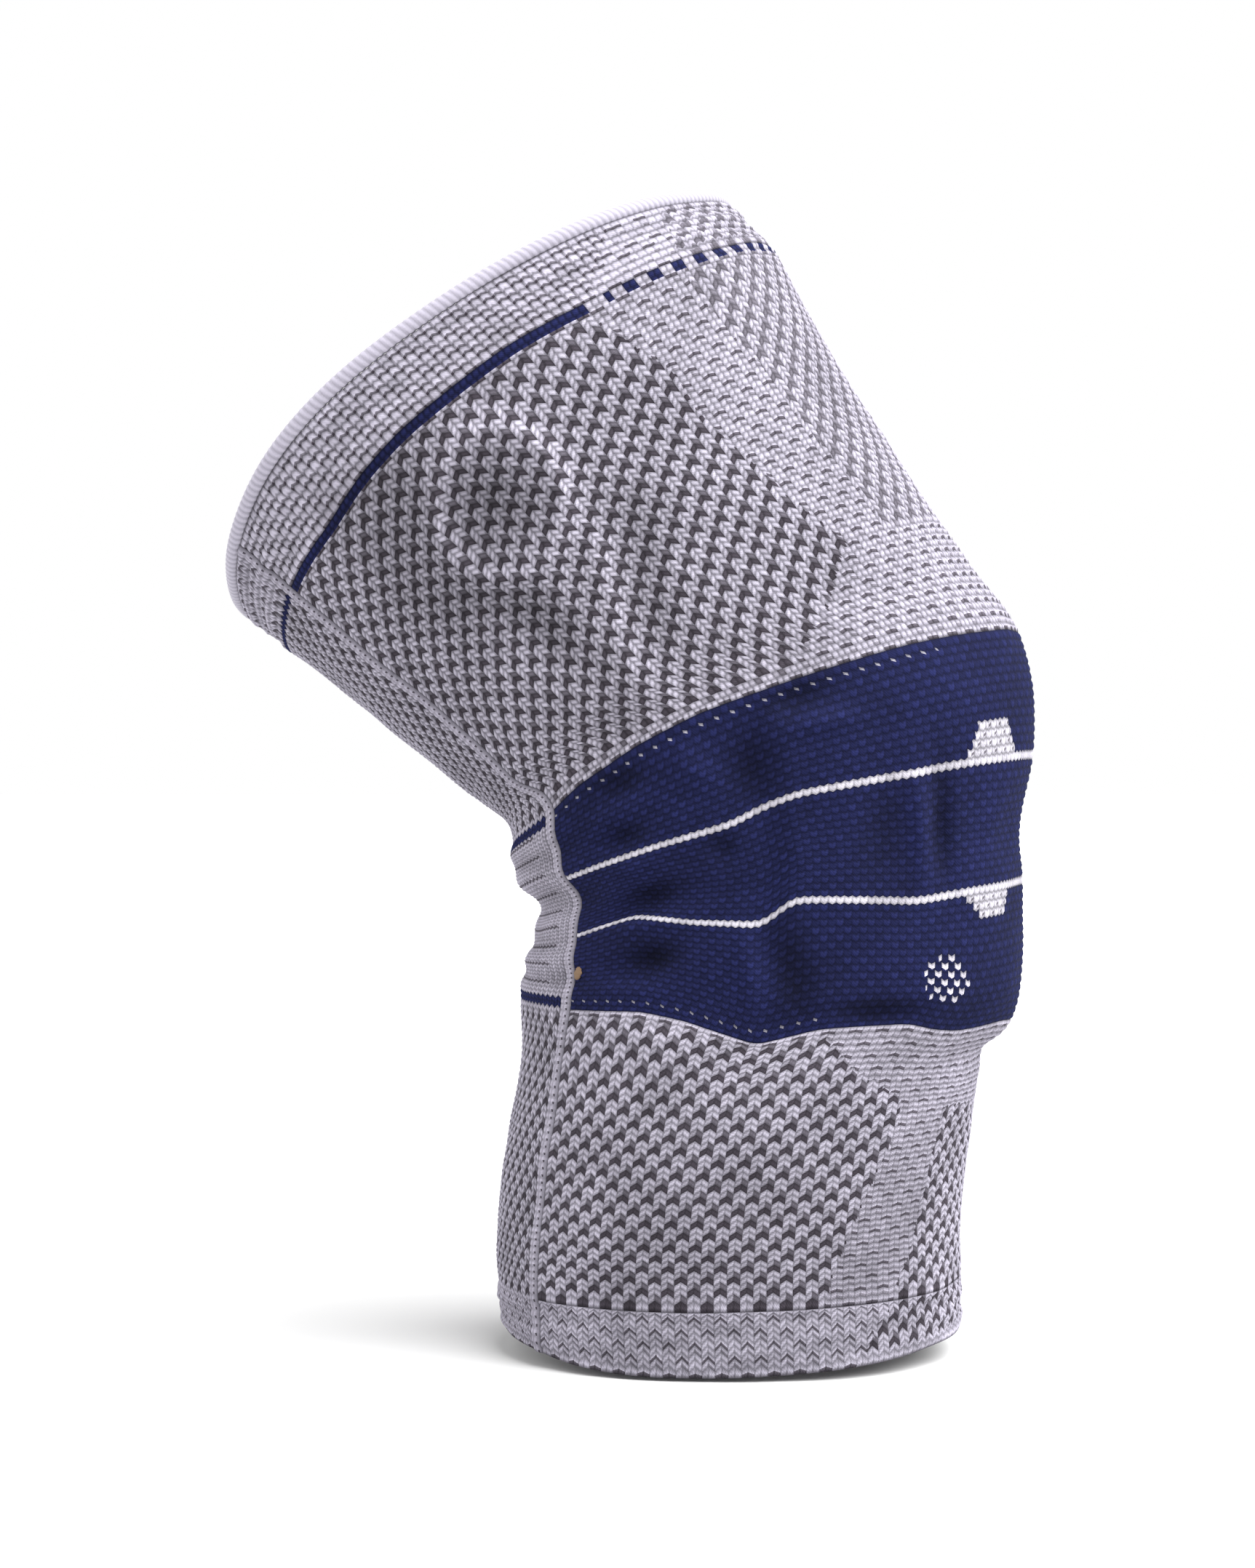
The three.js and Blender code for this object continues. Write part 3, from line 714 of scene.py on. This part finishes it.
def knit_panel(name, node, zones, edges, wales, facets, chart_of, inner_steps):
    """Knits one panel: zones are its first and last level, and edges gives its sides' turns at a level."""
    sizes = bpy.context.scene.knee_sleeve_sizes
    low, high = zones
    across, up = facets
    zone_rows = ZONE_ROWS[low:high]
    rows = sum(zone_rows)
    columns, lines = wales * across, rows * up
    mesh = mesh_from(flat_wall(columns, lines, *inner_steps), name)
    flat = vertex_array(mesh)
    column = np.rint((flat[:, 0] + 1) / 2 * columns).astype(int)
    line = np.rint((flat[:, 1] + 1) / 2 * lines).astype(int)
    inner = flat[:, 2] < -0.5

    # The level of each line of facets, and the turn of each column there.
    zone_marks = np.concatenate([[0], np.cumsum(zone_rows)]) * up
    line_levels = np.interp(np.arange(lines + 1), zone_marks, np.arange(low, high + 1))
    near, far = edges(line_levels)
    turns = even_turns(line_levels, near, far, np.linspace(0, 1, columns + 1))
    turn = turns[line, column]

    # Each course runs in bows, which flatten towards the panel's first and last course.
    span = BOW_WALES[low] * across
    sag = STITCH_DROPS[low] * (1 - np.abs(2 * (column % span) / span - 1))
    free = smooth_step(*FREE_ROWS[low], np.minimum(line, lines - line) / up)

    def chart_at(column, line, turn, level):
        return chart_of(column // across, line // up, column % across / across, line % up / up,
                        degrees_from_front(turn), level)

    bow = chart_at(column, line, turn, worn_level(turn, line_levels[line]))["bow"]
    level = worn_level(turn, level_of(height_of(line_levels[line]) - sag * free * bow))
    chart = chart_at(column, line, turn, level)
    high_stitch = chart["height"] * (1 - DARK_SINK * chart["dark"]) * stitch_shape(column, line, facets)
    rim = (line == 0) | (line == lines) | (column == 0) | (column == columns)
    high_stitch = np.where(inner | rim, 0, high_stitch)
    out = np.where(inner, -WALL, sizes.stitch_height / MM * high_stitch)
    place_vertices(mesh, knit_points(turn, level, out))

    # Yarn of each facet, read at its middle so that a stitch keeps its colour to its edge. The coarse inner
    # face takes the mean over the knit's repeat of four by four.
    middle = face_middles(mesh, np.stack([column, line, turn, level], axis=1).astype(float))
    facet = np.floor(middle[:, :2] - 1e-6).astype(int)
    chart = chart_at(facet[:, 0], facet[:, 1], middle[:, 2], middle[:, 3])
    hidden = face_middles(mesh, inner[:, None].astype(float))[:, 0] > 0.9
    spread = [chart_at(facet[hidden, 0] + across * i, facet[hidden, 1] + up * j, *middle[hidden, 2:].T)
              for i in range(4) for j in range(4)]
    for yarn in ("dark", "blue", "white"):
        chart[yarn][hidden] = np.mean([one[yarn] for one in spread], axis=0)
        add_attribute(mesh, yarn + "_yarn", "FACE", chart[yarn])
    noise = np.random.default_rng(len(name)).normal(0, 1, (wales + 1, rows + 1))
    tone = noise[np.clip(facet[:, 0] // across, 0, wales), np.clip(facet[:, 1] // up, 0, rows)] * ~hidden
    add_attribute(mesh, "stitch_tone", "FACE", np.clip(tone, -2, 2))
    add_attribute(mesh, "stitch_height", "POINT", np.where(inner, INNER_HEIGHT, high_stitch))
    add_attribute(mesh, "fold_shade", "POINT", np.where(inner, 1.0, fold_shade(turn, level)))
    add_stitch_map(mesh, column / across, line / up)
    return finish_piece(name, mesh, knitted_yarn(), [node])


def front_edges(levels):
    edge = seam_edge(levels, -1)
    return edge, -edge


def back_edges(levels):
    edge = seam_edge(levels, 1)
    return 2 * math.pi - edge, edge


# Materials.

def add_node(tree, kind, links=(), **settings):
    """Adds a node: settings are its own values, in_NAME a socket's, and links pair a socket and an output."""
    node = tree.nodes.new(kind)
    for key, value in settings.items():
        if key.startswith("in_"):
            socket = key[3:].replace("_", " ")
            node.inputs[int(socket) if socket.isdigit() else socket].default_value = value
        else:
            setattr(node, key, value)
    for socket, source in links:
        tree.links.new(source, node.inputs[socket])
    return node


def new_material(name):
    material = bpy.data.materials.new(name)
    material.use_nodes = True
    material.node_tree.nodes.clear()
    return material


def close_material(tree, **shader):
    """Adds the shader and its output: values go on its own sockets, and links come as pairs."""
    links = shader.pop("links")
    principled = add_node(tree, "ShaderNodeBsdfPrincipled", links)
    for key, value in shader.items():
        principled.inputs[key.replace("_", " ").title().replace("Ior", "IOR")].default_value = value
    add_node(tree, "ShaderNodeOutputMaterial", [("Surface", principled.outputs["BSDF"])])


def knitted_yarn():
    """Circular-knitted polyamide yarn over elastane: matt, with soft fibres that catch light at a low angle.
    The grooves between stitches hold shade, and each stitch differs a little in tone."""
    name = "Knitted polyamide yarn"
    if name in bpy.data.materials:
        return bpy.data.materials[name]
    colours = bpy.context.scene.knee_sleeve_colours
    sizes = bpy.context.scene.knee_sleeve_sizes
    material = new_material(name)
    tree = material.node_tree
    facts = ("blue_yarn", "white_yarn", "dark_yarn", "stitch_tone", "stitch_height", "fold_shade")
    knit = {fact: add_node(tree, "ShaderNodeAttribute", attribute_name=fact).outputs["Fac"] for fact in facts}
    yarn = add_node(tree, "ShaderNodeMix", [(0, knit["blue_yarn"])], data_type="RGBA",
                    in_6=rgba(colours.light_yarn), in_7=rgba(colours.blue_yarn))
    for fact, colour in (("white_yarn", colours.white_yarn), ("dark_yarn", colours.dark_yarn)):
        yarn = add_node(tree, "ShaderNodeMix", [(0, knit[fact]), (6, yarn.outputs[2])], data_type="RGBA",
                        in_7=rgba(colour))

    # Tone of each stitch, shade in the grooves and shade in the folds, as a factor on the yarn's colour.
    tone = add_node(tree, "ShaderNodeMath", [(0, knit["stitch_tone"])], operation="MULTIPLY_ADD", in_1=0.08,
                    in_2=0.97)
    groove = add_node(tree, "ShaderNodeMapRange", [("Value", knit["stitch_height"])], in_From_Min=0.0,
                      in_From_Max=0.8, in_To_Min=0.36, in_To_Max=1.0)
    factor = tone
    for shade in (groove.outputs[0], knit["fold_shade"]):
        factor = add_node(tree, "ShaderNodeMath", [(0, factor.outputs[0]), (1, shade)], operation="MULTIPLY")
    shaded = add_node(tree, "ShaderNodeVectorMath", [(0, yarn.outputs[2]), ("Scale", factor.outputs[0])],
                      operation="SCALE")

    # Plied yarn: slanted threads along each leg of the stitch, drawn about 0.4 mm apart so that they show.
    stitches = add_node(tree, "ShaderNodeUVMap", uv_map="Stitches").outputs["UV"]
    place = add_node(tree, "ShaderNodeTexCoord").outputs["Object"]
    twist = add_node(tree, "ShaderNodeTexWave", [("Vector", stitches)], wave_type="BANDS",
                     bands_direction="DIAGONAL", in_Scale=1.6, in_Distortion=1.4, in_Detail=1.0)
    fibre = add_node(tree, "ShaderNodeTexNoise", [("Vector", place)], in_Scale=2600.0, in_Detail=3.0,
                     in_Roughness=0.6)
    relief_mix = add_node(tree, "ShaderNodeMath", [(0, twist.outputs["Fac"]), (1, fibre.outputs["Fac"])],
                          operation="ADD")
    bump = add_node(tree, "ShaderNodeBump", [("Height", relief_mix.outputs[0])], in_Strength=0.7,
                    in_Distance=sizes.pile)
    close_material(tree, links=[("Base Color", shaded.outputs[0]), ("Normal", bump.outputs[0])],
                   roughness=0.88, ior=1.53, specular_ior_level=0.08)
    return material


def plain_yarn(name, colour, scale, tones, wound=False, **finish):
    """Yarn of one colour that its fibres speckle. Where it is wound, it has shaded grooves and a bump."""
    material = new_material(name)
    tree = material.node_tree
    place = add_node(tree, "ShaderNodeTexCoord").outputs["Object"]
    fibre = add_node(tree, "ShaderNodeTexNoise", [("Vector", place)], in_Scale=scale, in_Detail=3.0)
    factor = add_node(tree, "ShaderNodeMapRange", [("Value", fibre.outputs["Fac"])], in_To_Min=tones[0],
                      in_To_Max=tones[1])
    links = []
    if wound:
        depth = add_node(tree, "ShaderNodeAttribute", attribute_name="stitch_height").outputs["Fac"]
        groove = add_node(tree, "ShaderNodeMapRange", [("Value", depth)], in_From_Min=0.0, in_From_Max=0.8,
                          in_To_Min=0.66, in_To_Max=1.0)
        factor = add_node(tree, "ShaderNodeMath", [(0, groove.outputs[0]), (1, factor.outputs[0])],
                          operation="MULTIPLY")
        bump = add_node(tree, "ShaderNodeBump", [("Height", fibre.outputs["Fac"])], in_Strength=0.6,
                        in_Distance=bpy.context.scene.knee_sleeve_sizes.pile)
        links.append(("Normal", bump.outputs[0]))
    shaded = add_node(tree, "ShaderNodeVectorMath", [("Scale", factor.outputs[0])], operation="SCALE",
                      in_0=tuple(colour))
    close_material(tree, links=[("Base Color", shaded.outputs[0]), *links], **finish)
    return material


def whipped_yarn():
    """Textured polyamide yarn wound tightly round the rim: matt and pale, with fibres along each wrap."""
    return plain_yarn("Whipped polyamide yarn", bpy.context.scene.knee_sleeve_colours.light_yarn, 2200.0,
                      (0.88, 1.08), wound=True, roughness=0.9, ior=1.53, specular_ior_level=0.25,
                      sheen_weight=0.15, sheen_roughness=0.5)


def sewing_thread():
    """Spun polyester sewing thread, packed in a short dense tack: a little glossier than the knit's yarn."""
    return plain_yarn("Sewn polyester thread", bpy.context.scene.knee_sleeve_colours.tack_thread, 2400.0,
                      (0.75, 1.15), roughness=0.75, ior=1.55)


# Operators: one for each piece or group of like pieces, and one for the stage.

class KNEESLEEVE_OT_front_knit(bpy.types.Operator):
    """Knits the front panel's five zones, from the calf's hem to the thigh's welt"""
    bl_idname = "knee_sleeve.front_knit"
    bl_label = "Front knit"

    def execute(self, context):
        zones = [
            ("Bottom_Hem", "light_knit", "bottom_hem", hem_chart, (80, 3)),
            ("Calf_Knit", "grey_knit", "calf_knit", calf_chart, (80, 18)),
            ("Knee_Band", "blue_knit", "knee_band", band_chart, (80, 24)),
            ("Thigh_Knit", "grey_knit", "thigh_knit", thigh_chart, (80, 24)),
            ("Top_Welt", "light_knit", "top_welt", welt_chart, (80, 4)),
        ]
        for zone, (name, slot, node, chart, inner) in enumerate(zones):
            knit_panel(name, node, (zone, zone + 1), front_edges, ZONE_WALES[zone], ZONE_FACETS[zone],
                       chart, inner)
        return {"FINISHED"}


class KNEESLEEVE_OT_back_knit(bpy.types.Operator):
    """Knits the back panel, which runs from the hem to the rim between the two seams"""
    bl_idname = "knee_sleeve.back_knit"
    bl_label = "Back knit"

    def execute(self, context):
        knit_panel("Back_Panel", "back_panel", (0, RIM), back_edges, BACK_WALES, BACK_FACETS,
                   back_chart, (20, 88))
        return {"FINISHED"}


class KNEESLEEVE_OT_seams(bpy.types.Operator):
    """Sews the two raised seams that join the front knit and the back panel"""
    bl_idname = "knee_sleeve.seams"
    bl_label = "Seams"

    def execute(self, context):
        sizes = context.scene.knee_sleeve_sizes
        across, up, rows, weaves = 10, 3, SEAM_RUNGS, 3
        rungs, ridge_power, thread_share, holes = np.array([0.0, 1.0, 0.75]), 0.7, 0.9, (2, 7)
        # Millimetres that the ridge is lower than the solid's, so that the threads reach about its height.
        thread_room = 0.25
        for side, name, node in ((1, "Near_Seam", "near_seam"), (-1, "Far_Seam", "far_seam")):
            mesh = mesh_from(flat_wall(across, rows * up, 2, rows), name)
            flat = vertex_array(mesh)
            share = (flat[:, 0] + 1) / 2
            line = np.rint((flat[:, 1] + 1) / 2 * rows * up).astype(int)
            inner = flat[:, 2] < -0.5
            level = level_of(line / (rows * up) * ZONE_FEET[-1])
            front, back = seam_edge(level, -1), seam_edge(level, 1)
            turn = back + (front - back) * share if side > 0 else -front + (front - back) * share
            level = worn_level(turn, level)

            # Ladder of cross stitches over a rounded ridge, with a groove along each side.
            rung = rungs[line % up]
            ridge = np.sin(math.pi * share) ** ridge_power
            weave = 0.5 + 0.5 * np.cos(2 * math.pi * share * weaves)
            high = np.where(inner, INNER_HEIGHT, ridge * (0.35 + 0.65 * rung * weave))
            thread = thread_share * sizes.stitch_height / MM * rung * weave * (ridge > 0.2)
            out = np.where(inner, -WALL, ridge * (SEAM_RISE - thread_room) + thread)
            place_vertices(mesh, knit_points(turn, level, out))
            middle = face_middles(mesh, np.stack([share * across, line.astype(float)], axis=1))
            facet = np.floor(middle - 1e-6).astype(int)
            hole = (facet[:, 1] % up == 0) & np.isin(facet[:, 0], holes)
            add_attribute(mesh, "dark_yarn", "FACE", np.where(hole, 0.9, 0.06))
            for yarn in ("blue_yarn", "white_yarn"):
                add_attribute(mesh, yarn, "FACE", np.zeros(len(mesh.polygons)))
            tone = np.random.default_rng(7).normal(0, 1, rows * up + 1)
            add_attribute(mesh, "stitch_tone", "FACE", np.clip(tone[facet[:, 1]], -2, 2))
            add_attribute(mesh, "stitch_height", "POINT", high)
            add_attribute(mesh, "fold_shade", "POINT", np.ones(len(high)))
            add_stitch_map(mesh, share * weaves, line / up)
            finish_piece(name, mesh, knitted_yarn(), [node])
        return {"FINISHED"}


class KNEESLEEVE_OT_binding(bpy.types.Operator):
    """Winds the pale binding round the thigh's rim"""
    bl_idname = "knee_sleeve.binding"
    bl_label = "Rim binding"

    def execute(self, context):
        sizes = context.scene.knee_sleeve_sizes
        per_wrap, sides, swell_share, swell_middle = 4, 14, 0.09, 0.6
        steps = sizes.binding_wraps * per_wrap
        bm = bmesh.new()
        bmesh.ops.create_grid(bm, x_segments=steps, y_segments=sides, size=1.0)
        mesh = mesh_from(bm, "Top_Binding")
        flat = vertex_array(mesh)
        step = np.rint((flat[:, 0] + 1) / 2 * steps)
        side = np.rint((flat[:, 1] + 1) / 2 * sides)
        turns = even_turns(np.array([float(RIM)]), np.zeros(1), np.full(1, -2 * math.pi),
                           np.linspace(0, 1, steps + 1))
        turn = turns[0][step.astype(int)]
        angle = 2 * math.pi * side / sides

        # A wrap's crest runs aslant round the cord, one wrap on for each turn about it.
        crest = 0.5 + 0.5 * np.cos(2 * math.pi * (step / per_wrap + side / sides))
        swell = 1 + swell_share * (crest - swell_middle)
        level = np.full(len(turn), float(RIM))
        _around, up, out = directions(turn, level)
        middle = knit_points(turn, level, np.full(len(turn), -WALL / 2), np.full(len(turn), BINDING_TALL / 2))
        points = (middle + out * (np.cos(angle) * BINDING_THICK / 2 * swell)[:, None]
                  + up * (np.sin(angle) * BINDING_TALL / 2 * swell)[:, None])
        place_vertices(mesh, points)
        add_attribute(mesh, "stitch_height", "POINT", crest)
        close_up(mesh)
        finish_piece("Top_Binding", mesh, whipped_yarn(), ["top_binding"])
        return {"FINISHED"}


class KNEESLEEVE_OT_bar_tacks(bpy.types.Operator):
    """Sews the small dense tack beside each seam at the foot of the knee band"""
    bl_idname = "knee_sleeve.bar_tacks"
    bl_label = "Bar tacks"

    def execute(self, context):
        # Level, degrees in front of the seam's edge and lift, then the tack's size and its threads' grooves.
        place, offset, lift = np.array([2.185]), 1.3, np.array([0.25])
        tall, wide, thick, threads, groove_share = 3.4, 2.4, 1.1, 7, 0.12
        material = sewing_thread()
        for side, name in ((1, "Near_Tack"), (-1, "Far_Tack")):
            bm = bmesh.new()
            bmesh.ops.create_uvsphere(bm, u_segments=56, v_segments=14, radius=1.0)
            mesh = mesh_from(bm, name)
            ball = vertex_array(mesh)
            turn = seam_edge(place, -1) - offset * DEGREE
            across, up, out = (direction[0] for direction in directions(turn, place))
            groove = 1 + groove_share * np.cos(ball[:, 2] * math.pi * threads)
            points = knit_points(turn, place, lift)[0] + np.outer(ball[:, 0] * groove * wide / 2, across)
            points = points + np.outer(ball[:, 2] * tall / 2, up)
            points = points + np.outer(ball[:, 1] * groove * thick / 2, out)
            points[:, 1] *= side
            place_vertices(mesh, points)
            close_up(mesh)
            finish_piece(name, mesh, material, [])
        return {"FINISHED"}


class KNEESLEEVE_OT_stage(bpy.types.Operator):
    """Sets the pale floor, the soft lights and the camera of the photographed view"""
    bl_idname = "knee_sleeve.stage"
    bl_label = "Stage"

    def execute(self, context):
        scene = context.scene
        colours = scene.knee_sleeve_colours

        material = new_material("Plain painted floor")
        close_material(material.node_tree, links=[], base_color=rgba(colours.floor), roughness=0.9)
        bm = bmesh.new()
        bmesh.ops.create_grid(bm, x_segments=1, y_segments=1, size=40.0)
        bmesh.ops.translate(bm, verts=bm.verts, vec=(0, 0, CAD_BOX[0].z - MM))
        floor_mesh = mesh_from(bm, "Floor")
        floor_mesh.materials.append(material)
        floor = bpy.data.objects.new("Floor", floor_mesh)
        scene.collection.objects.link(floor)

        world = bpy.data.worlds.new("Soft daylight")
        world.use_nodes = True
        sky = world.node_tree.nodes["Background"]
        sky.inputs["Color"].default_value = (1, 1, 1, 1)
        sky.inputs["Strength"].default_value = 1.0
        scene.world = world

        suns = [
            ("Key_Light", (0.55, -0.33, 0.85), 70, 8.5),
            ("Front_Light", (-0.1, -0.95, 0.35), 60, 0.2),
            ("Back_Light", (-0.95, 0.1, 0.25), 60, 1.6),
        ]
        for name, place, spread, power in suns:
            light = bpy.data.lights.new(name, "SUN")
            light.angle = spread * DEGREE
            light.energy = power
            lamp = bpy.data.objects.new(name, light)
            scene.collection.objects.link(lamp)
            lamp.location = place
            lamp.rotation_mode = "QUATERNION"
            lamp.rotation_quaternion = (-lamp.location).to_track_quat("-Z", "Y")

        camera_data = bpy.data.cameras.new("Camera")
        camera_data.sensor_fit = "VERTICAL"
        camera_data.sensor_height = 24.0
        camera_data.lens = 48.08
        camera_data.clip_start, camera_data.clip_end = 0.05, 100.0
        camera = bpy.data.objects.new("Camera", camera_data)
        scene.collection.objects.link(camera)
        camera.location = (-0.0385, -0.8, 0.0213)
        camera.rotation_euler = (math.pi / 2, 0, 0)
        scene.camera = camera
        scene.view_settings.view_transform = "Standard"
        return {"FINISHED"}


class KNEESLEEVE_PT_panel(bpy.types.Panel):
    """Lists the knee sleeve's sizes, colours and pieces"""
    bl_idname = "KNEESLEEVE_PT_panel"
    bl_label = "Knee sleeve"
    bl_space_type = "VIEW_3D"
    bl_region_type = "UI"
    bl_category = "Knee sleeve"

    def draw(self, context):
        for group in (context.scene.knee_sleeve_sizes, context.scene.knee_sleeve_colours):
            for name in group.bl_rna.properties.keys():
                if name not in ("rna_type", "name"):
                    self.layout.prop(group, name)
        for operator in OPERATORS:
            self.layout.operator(operator.bl_idname)


OPERATORS = (
    KNEESLEEVE_OT_front_knit,
    KNEESLEEVE_OT_back_knit,
    KNEESLEEVE_OT_seams,
    KNEESLEEVE_OT_binding,
    KNEESLEEVE_OT_bar_tacks,
    KNEESLEEVE_OT_stage,
)
CLASSES = (KneeSleeveSizes, KneeSleeveColours, *OPERATORS, KNEESLEEVE_PT_panel)


def register():
    for cls in CLASSES:
        bpy.utils.register_class(cls)
    bpy.types.Scene.knee_sleeve_sizes = bpy.props.PointerProperty(type=KneeSleeveSizes)
    bpy.types.Scene.knee_sleeve_colours = bpy.props.PointerProperty(type=KneeSleeveColours)


def unregister():
    del bpy.types.Scene.knee_sleeve_colours
    del bpy.types.Scene.knee_sleeve_sizes
    for cls in reversed(CLASSES):
        bpy.utils.unregister_class(cls)


def main():
    register()
    bpy.ops.knee_sleeve.front_knit()
    bpy.ops.knee_sleeve.back_knit()
    bpy.ops.knee_sleeve.seams()
    bpy.ops.knee_sleeve.binding()
    bpy.ops.knee_sleeve.bar_tacks()
    bpy.ops.knee_sleeve.stage()


if __name__ == "__main__":
    main()
